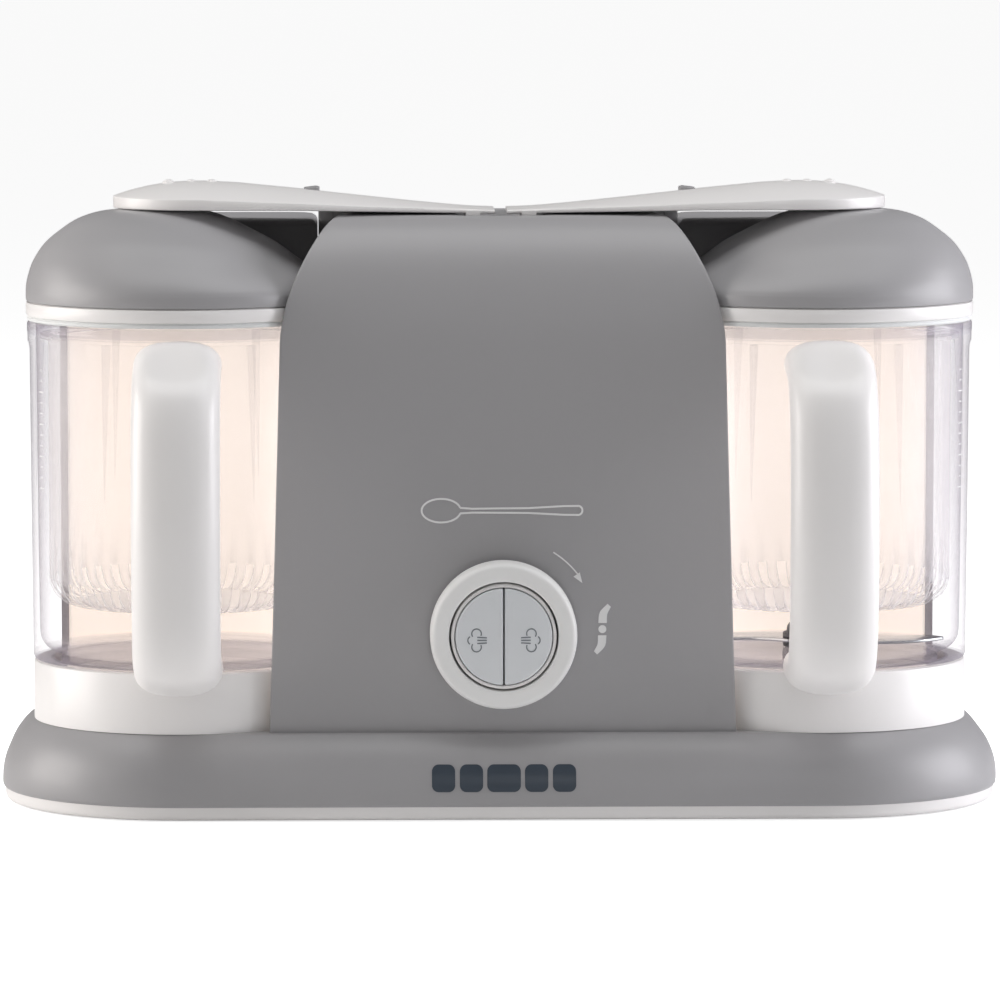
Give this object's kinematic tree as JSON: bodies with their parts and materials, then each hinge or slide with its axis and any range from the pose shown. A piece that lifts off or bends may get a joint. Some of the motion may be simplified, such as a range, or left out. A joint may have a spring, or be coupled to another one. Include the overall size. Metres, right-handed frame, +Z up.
{
  "type": "baby food maker",
  "caption": "Table-top steamer and blender for baby food: two clear handled bowls with hinged domed lids either side of a curved housing with a control knob.",
  "frame": {"origin": "on the table, under the middle of the machine's bounding box", "axes": "+X along the row of two bowls, to the right as seen from the front; +Y towards the back; +Z up"},
  "size_m": [0.3952, 0.205, 0.246],
  "materials": {
    "shell_grey": "satin",
    "shell_white": "smooth",
    "insert_white": "satin",
    "knob_white": "satin",
    "button_grey": "satin",
    "bowl_clear": "clear",
    "basket_frosted": "frosted",
    "seal_silicone": "soft",
    "feet_rubber": "soft",
    "belt_rubber": "ribbed",
    "inlay_slate": "satin",
    "dark_plastic": "satin",
    "blade_steel": "ground",
    "bright_steel": "drawn",
    "plated_steel": "plated",
    "bush_bronze": "sintered",
    "board_green": "coated"
  },
  "bodies": {
    "housing": {"base_shell": "shell_grey", "front_housing": "shell_grey", "rear_housing": "shell_grey", "base_tray": "shell_white", "bay_wall_left": "shell_white", "bay_wall_right": "shell_white", "collar_left": "shell_white", "collar_right": "shell_white", "knob_bezel": "shell_white", "rubber_feet": "feet_rubber", "drive_belt": "belt_rubber", "base_inlay": "inlay_slate", "cable_gland": "dark_plastic", "rotary_switch": "dark_plastic", "thermostats": "dark_plastic", "base_screws": "bright_steel", "hinge_pins": "bright_steel", "button_spring_left": "bright_steel", "button_spring_right": "bright_steel", "water_tank_left": "bright_steel", "water_tank_right": "bright_steel", "motor_body": "plated_steel", "motor_bracket": "plated_steel", "heating_elements": "plated_steel", "spindle_bearings": "bush_bronze", "control_board": "board_green"},
    "lid_left": {"arm_left": "shell_white", "dome_left": "shell_grey", "lid_band_left": "shell_white", "lid_gasket_left": "seal_silicone", "tank_cover_left": "shell_grey", "tank_seal_left": "seal_silicone"},
    "lid_right": {"arm_right": "shell_white", "dome_right": "shell_grey", "lid_band_right": "shell_white", "lid_gasket_right": "seal_silicone", "tank_cover_right": "shell_grey", "tank_seal_right": "seal_silicone"},
    "bowl_left": {"bowl_left": "bowl_clear", "handle_left": "shell_white", "handle_insert_left": "insert_white", "basket_left": "basket_frosted", "seat_cap": "shell_white"},
    "bowl_right": {"bowl_right": "bowl_clear", "handle_right": "shell_white", "handle_insert_right": "insert_white", "basket_right": "basket_frosted"},
    "release_left": {"release_button_left": "shell_grey"},
    "release_right": {"release_button_right": "shell_grey"},
    "knob": {"knob_ring": "knob_white"},
    "button_left": {"steam_button_left": "button_grey"},
    "button_right": {"steam_button_right": "button_grey"},
    "motor_shaft": {"motor_rotor": "bright_steel", "motor_pulley": "dark_plastic"},
    "blade_drive": {"drive_pulley": "dark_plastic", "drive_spindle": "bright_steel", "blade_hub": "dark_plastic", "blades": "blade_steel", "blade_nut": "dark_plastic"}
  },
  "joints": [
    {"name": "lid_left_hinge", "type": "hinge", "parent": "housing", "child": "lid_left", "pos_m": [-0.011, 0.0055, 0.2285], "axis": [0, 1, 0], "range_deg": [0, 75]},
    {"name": "lid_right_hinge", "type": "hinge", "parent": "housing", "child": "lid_right", "pos_m": [0.011, 0.0055, 0.2285], "axis": [0, -1, 0], "range_deg": [0, 75]},
    {"name": "bowl_left_twist", "type": "hinge", "parent": "housing", "child": "bowl_left", "pos_m": [-0.1256, 0.0055, 0.12], "axis": [0, 0, -1], "range_deg": [0, 25]},
    {"name": "bowl_right_twist", "type": "hinge", "parent": "housing", "child": "bowl_right", "pos_m": [0.1256, 0.0055, 0.12], "axis": [0, 0, 1], "range_deg": [0, 25]},
    {"name": "release_left_press", "type": "slide", "parent": "lid_left", "child": "release_left", "axis": [0, 0, -1], "range_m": [0, 0.002], "stiffness_N_per_m": 400},
    {"name": "release_right_press", "type": "slide", "parent": "lid_right", "child": "release_right", "axis": [0, 0, -1], "range_m": [0, 0.002], "stiffness_N_per_m": 400},
    {"name": "knob_turn", "type": "hinge", "parent": "housing", "child": "knob", "pos_m": [0, -0.04844, 0.072], "axis": [0, 1, 0], "range_deg": [0, 35], "stiffness_Nm_per_rad": 0.1},
    {"name": "steam_left_press", "type": "slide", "parent": "housing", "child": "button_left", "axis": [0, 1, 0], "range_m": [0, 0.0025], "stiffness_N_per_m": 400, "deforming": ["button_spring_left"]},
    {"name": "steam_right_press", "type": "slide", "parent": "housing", "child": "button_right", "axis": [0, 1, 0], "range_m": [0, 0.0025], "stiffness_N_per_m": 400, "deforming": ["button_spring_right"]},
    {"name": "motor_spin", "type": "hinge", "parent": "housing", "child": "motor_shaft", "pos_m": [0, 0.0055, 0.08], "axis": [0, 0, 1], "continuous": true},
    {"name": "blade_spin", "type": "hinge", "parent": "housing", "child": "blade_drive", "pos_m": [0.1256, 0.0055, 0.04], "axis": [0, 0, 1], "continuous": true}
  ],
  "couplings": [
    {"joint": "blade_spin", "follows": "motor_spin", "ratio": 0.5}
  ]
}
